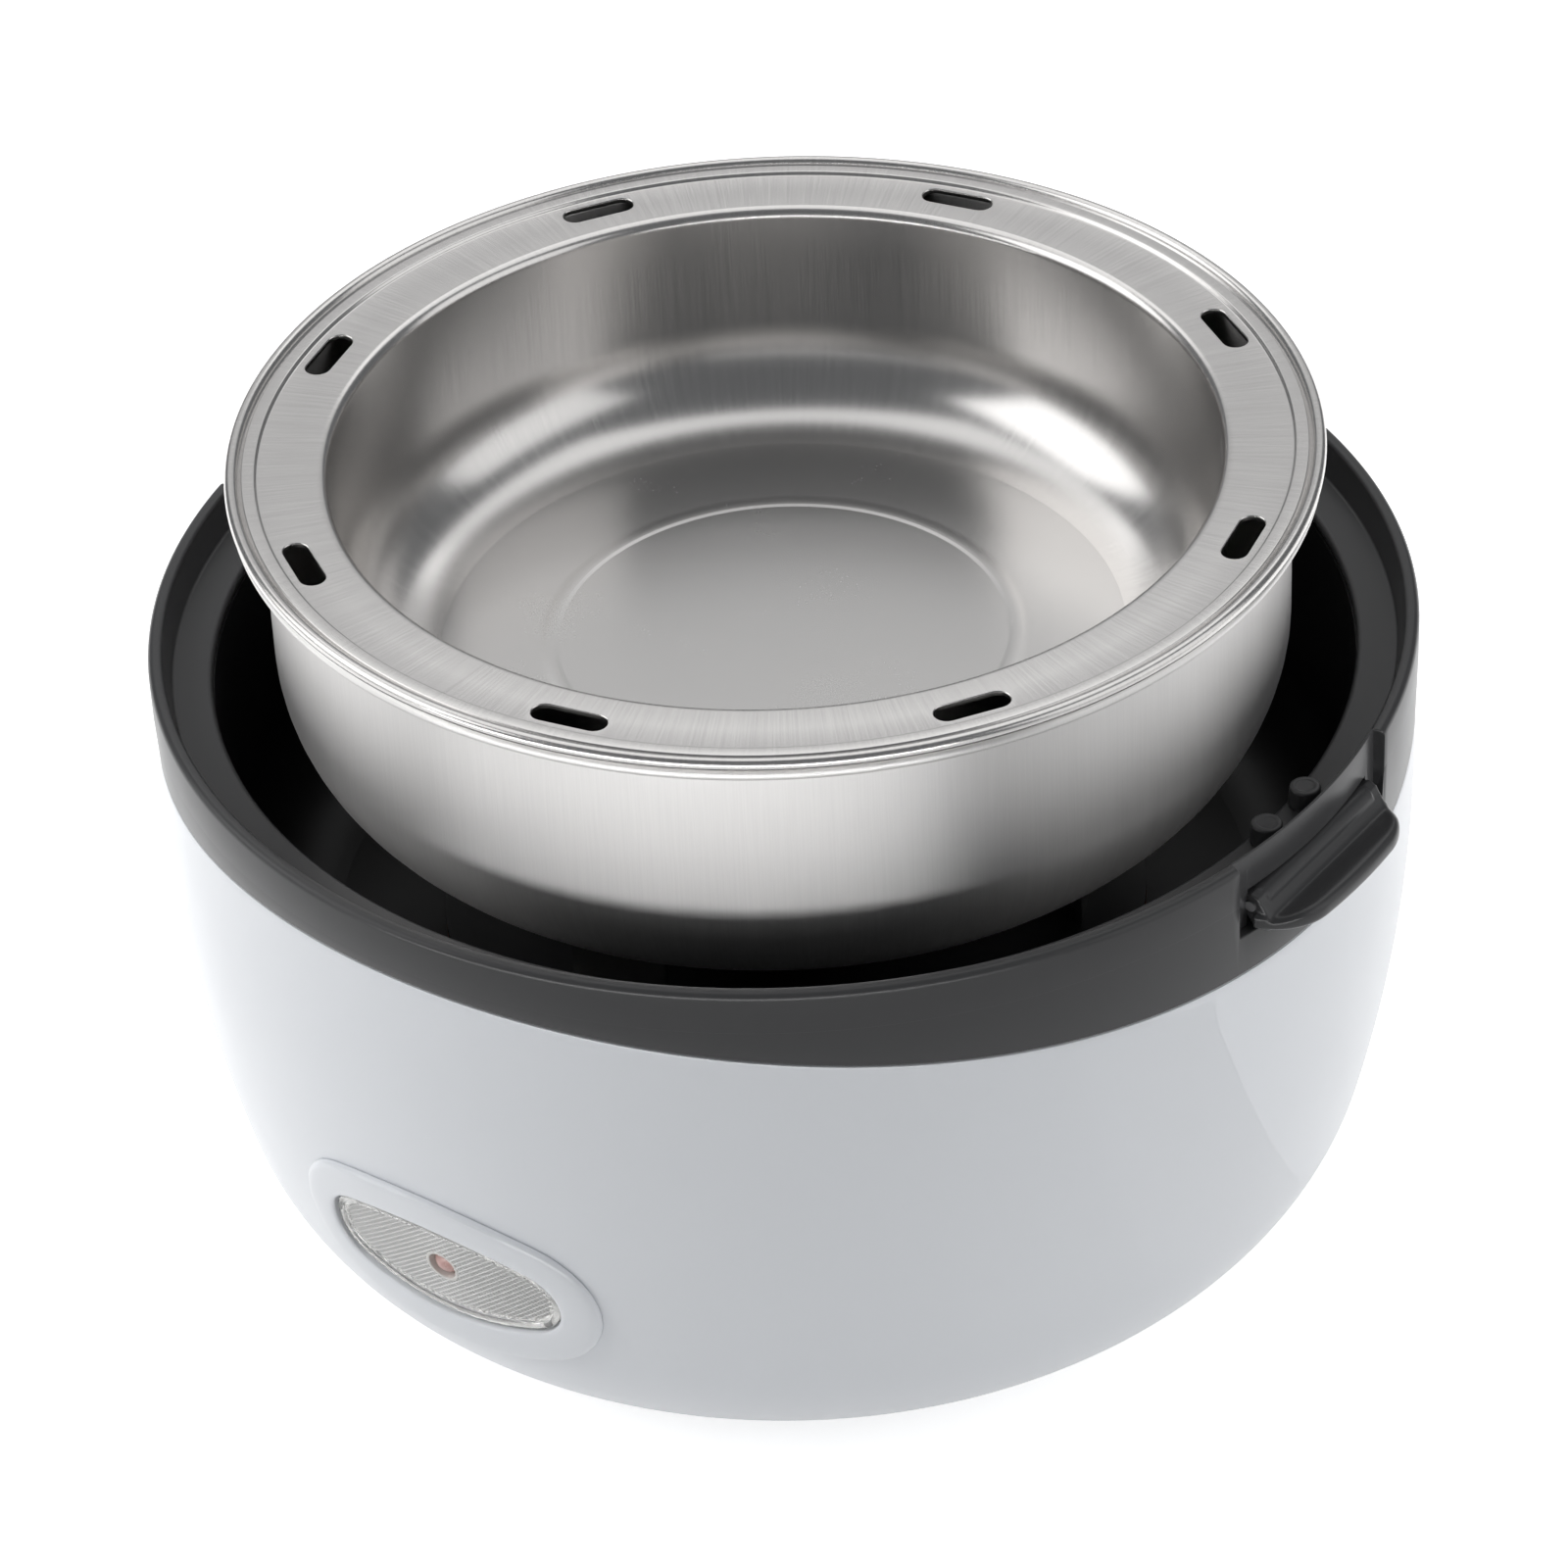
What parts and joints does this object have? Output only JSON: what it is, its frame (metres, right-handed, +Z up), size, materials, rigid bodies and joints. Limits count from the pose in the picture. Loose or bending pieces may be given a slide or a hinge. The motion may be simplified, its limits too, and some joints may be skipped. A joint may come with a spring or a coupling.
{
  "type": "electric lunch box",
  "caption": "Round heated lunch box base in white with a dark grey collar and two flip clasps, holding a steel bowl and a slotted steam dish stacked in it.",
  "frame": {"origin": "on the table, under the middle of the round base", "axes": "+Z up along the axis of the round base and of the bowl and dish, -Y the side with the indicator, +X the clasp that the picture shows"},
  "size_m": [0.2136, 0.2, 0.1391],
  "materials": {
    "white_shell": "glossy, smooth injection-moulded",
    "grey_collar": "satin, fine moulded texture",
    "black_liner": "dark satin",
    "bright_steel": "radially brushed, polished corners",
    "steel_fixing": "zinc-bright",
    "plate_metal": "dark non-stick coat over turned metal",
    "seal_rubber": "soft, matt",
    "foot_rubber": "soft, matt",
    "heater_case": "plain",
    "control_plastic": "plain",
    "brass_part": "bright",
    "inlet_plastic": "plain black",
    "clear_lens": "clear with a knurled back",
    "lamp_glass": "tinted",
    "lamp_cup": "plain",
    "wire_brown": "insulation",
    "wire_blue": "insulation",
    "wire_green": "insulation",
    "wire_red": "insulation",
    "wire_white": "insulation"
  },
  "bodies": {
    "base": {"housing": "white_shell", "collar": "grey_collar", "well_liner": "black_liner", "collar_screws": "steel_fixing", "seal_ring": "seal_rubber", "heating_plate": "plate_metal", "clamp_ring": "steel_fixing", "plate_nuts": "brass_part", "heater": "heater_case", "heater_strap": "steel_fixing", "thermostat": "control_plastic", "thermal_fuse": "steel_fixing", "fuse_clip": "steel_fixing", "plate_screws": "brass_part", "power_inlet": "inlet_plastic", "inlet_pins": "brass_part", "inlet_screws": "steel_fixing", "inlet_nuts": "steel_fixing", "live_wire": "wire_brown", "neutral_wire": "wire_blue", "earth_wire": "wire_green", "heater_links": "wire_red", "lamp_leads": "wire_white", "indicator_bezel": "white_shell", "indicator_lens": "clear_lens", "indicator_lamp": "lamp_glass", "lamp_holder": "lamp_cup", "base_cover": "white_shell", "base_screws": "steel_fixing", "feet": "foot_rubber", "clasp_pin_right": "steel_fixing", "clasp_pin_left": "steel_fixing"},
    "clasp_right_body": {"clasp_right": "grey_collar"},
    "clasp_left_body": {"clasp_left": "grey_collar"},
    "rack": {"steam_rack": "bright_steel"},
    "bowl": {"food_bowl": "bright_steel"},
    "dish": {"steam_dish": "bright_steel"}
  },
  "joints": [
    {"name": "clasp_right_flip", "type": "hinge", "parent": "base", "child": "clasp_right_body", "pos_m": [0.0974, 0, 0.0988], "axis": [0, -1, 0], "range_deg": [0, 80]},
    {"name": "clasp_left_flip", "type": "hinge", "parent": "base", "child": "clasp_left_body", "pos_m": [-0.0974, 0, 0.0988], "axis": [0, 1, 0], "range_deg": [0, 80]},
    {"name": "rack_lift", "type": "slide", "parent": "base", "child": "rack", "axis": [0, 0, 1], "range_m": [0, 0.09]},
    {"name": "bowl_lift", "type": "slide", "parent": "rack", "child": "bowl", "axis": [0, 0, 1], "range_m": [0, 0.07]},
    {"name": "dish_lift", "type": "slide", "parent": "bowl", "child": "dish", "axis": [0, 0, 1], "range_m": [0, 0.07]}
  ]
}
